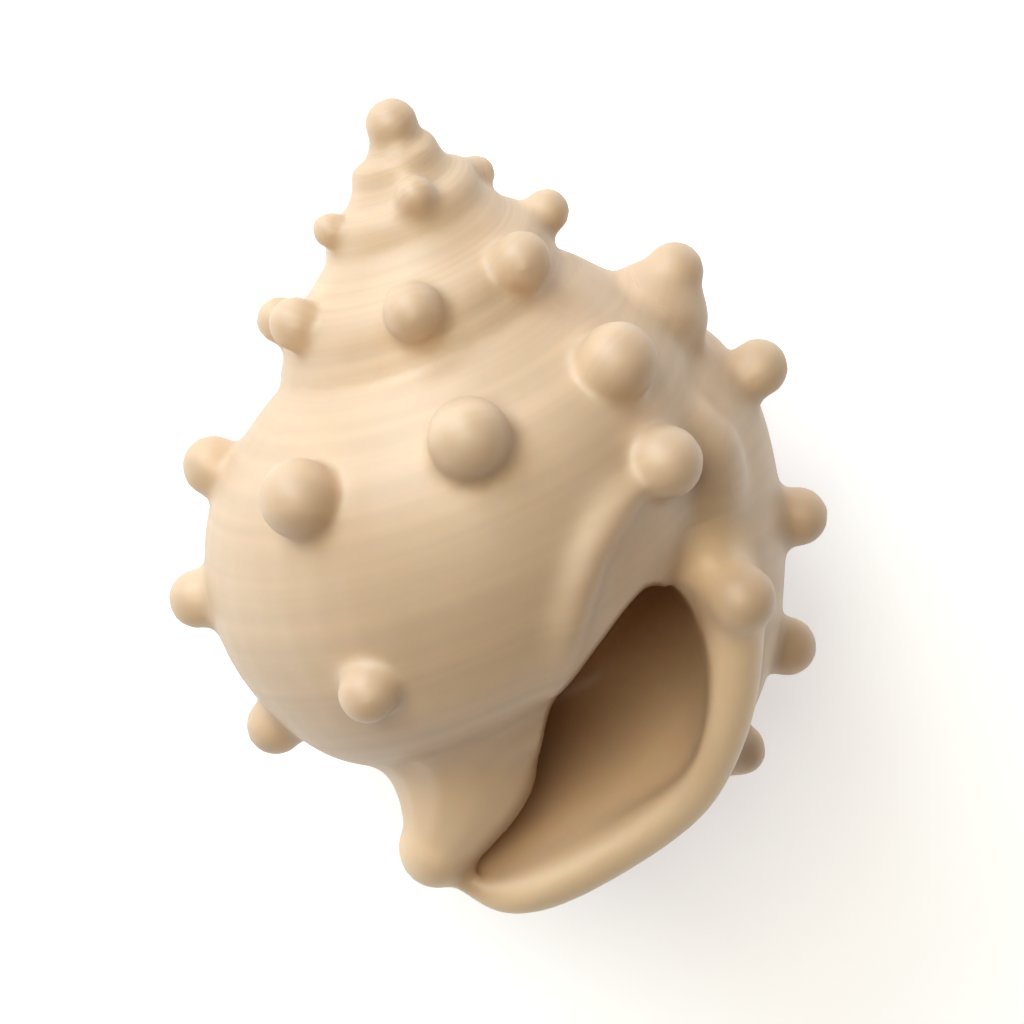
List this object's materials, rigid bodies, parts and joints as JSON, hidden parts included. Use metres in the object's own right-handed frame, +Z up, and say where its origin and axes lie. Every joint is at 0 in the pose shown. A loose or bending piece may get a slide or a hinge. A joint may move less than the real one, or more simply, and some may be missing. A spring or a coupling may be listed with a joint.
{
  "type": "distorsio shell",
  "caption": "Right-handed sea snail shell with rows of round knobs, a rolled outer lip and an open aperture, lying on its back.",
  "frame": {"origin": "middle of the shell's box in X and Y, on the surface it lies on", "axes": "+Z up, +Y towards the apex, +X towards the outer lip"},
  "size_m": [0.0496, 0.0636, 0.0464],
  "materials": {
    "shell": "satin"
  },
  "bodies": {
    "root": {"shell": "shell"}
  },
  "joints": []
}
